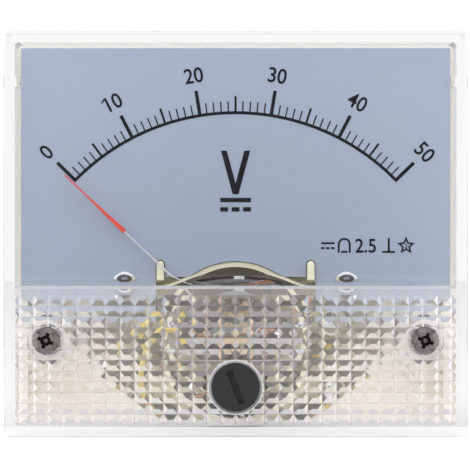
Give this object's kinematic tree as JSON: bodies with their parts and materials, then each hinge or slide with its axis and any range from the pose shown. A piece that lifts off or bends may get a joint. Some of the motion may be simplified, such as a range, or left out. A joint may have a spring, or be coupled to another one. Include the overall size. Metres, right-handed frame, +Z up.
{
  "type": "analog panel meter",
  "caption": "Moving-coil panel voltmeter with a clear front cover, a ribbed lower panel, a red pointer, a zero adjuster and a round case with rear terminals.",
  "frame": {"origin": "on the axis of the round case, in the plane where the flange seats on the panel", "axes": "+X to the right as the dial is read, +Y from the front towards the terminals, +Z up along the dial"},
  "size_m": [0.064, 0.0565, 0.056],
  "materials": {
    "clear_plastic": "clear, polished",
    "cream_plastic": "satin moulded",
    "dark_nickel": "dark nickel plated",
    "zinc_steel": "zinc plated",
    "dial_paint": "matt pale blue-grey",
    "black_ink": "printed",
    "bright_nickel": "bright nickel plated",
    "yellowed_plastic": "satin moulded",
    "soft_iron": "bare",
    "magnet_alloy": "ground",
    "brass": "turned",
    "tinned_brass": "tinned",
    "aluminium": "satin",
    "red_paint": "glossy",
    "copper_wire": "enamelled",
    "pivot_steel": "polished",
    "spring_bronze": "polished strip",
    "black_plastic": "satin moulded",
    "resistor_coat": "lacquered",
    "yellow_insulation": "extruded"
  },
  "bodies": {
    "case": {"front_cover": "clear_plastic", "rear_case": "cream_plastic", "cover_screws": "dark_nickel", "mounting_studs": "zinc_steel", "dial_plate": "dial_paint", "scale_print": "black_ink", "dial_screws": "bright_nickel", "movement_frame": "yellowed_plastic", "yoke_ring": "soft_iron", "magnet_core": "magnet_alloy", "core_spacers": "bright_nickel", "movement_screws": "bright_nickel", "bridge_posts": "brass", "front_bridge": "aluminium", "bridge_screws": "bright_nickel", "front_jewel_screw": "brass", "front_lock_nut": "brass", "rear_jewel_screw": "brass", "rear_lock_nut": "brass", "rear_hairspring": "spring_bronze", "terminal_studs": "brass", "terminal_nuts": "brass", "terminal_washers": "zinc_steel", "spring_washers": "dark_nickel", "solder_lugs": "tinned_brass", "series_resistor": "resistor_coat", "front_lead": "yellow_insulation", "rear_lead": "yellow_insulation"},
    "pointer": {"pointer_arm": "aluminium", "pointer_blade": "red_paint", "balance_arms": "aluminium", "balance_weights": "bright_nickel", "coil_former": "aluminium", "coil_winding": "copper_wire", "front_pivot": "pivot_steel", "rear_pivot": "pivot_steel", "front_collet": "brass", "rear_collet": "brass"},
    "zero_lever": {"zero_arm": "brass", "front_hairspring": "spring_bronze"},
    "adjuster": {"zero_adjuster": "black_plastic", "adjuster_clip": "bright_nickel"}
  },
  "joints": [
    {"name": "pointer_swing", "type": "hinge", "parent": "case", "child": "pointer", "pos_m": [0, 0, -0.0113], "axis": [0, 1, 0], "range_deg": [-1, 94], "stiffness_Nm_per_rad": 0.00002},
    {"name": "zero_adjust", "type": "hinge", "parent": "case", "child": "adjuster", "pos_m": [0, -0.012, -0.01807], "axis": [0, 1, 0], "range_deg": [-45, 45]},
    {"name": "zero_lever_turn", "type": "hinge", "parent": "case", "child": "zero_lever", "pos_m": [0, -0.0056, -0.0113], "axis": [0, 1, 0], "range_deg": [-5.5, 5.5]}
  ],
  "couplings": [
    {"joint": "zero_lever_turn", "follows": "zero_adjust", "ratio": -0.12}
  ]
}
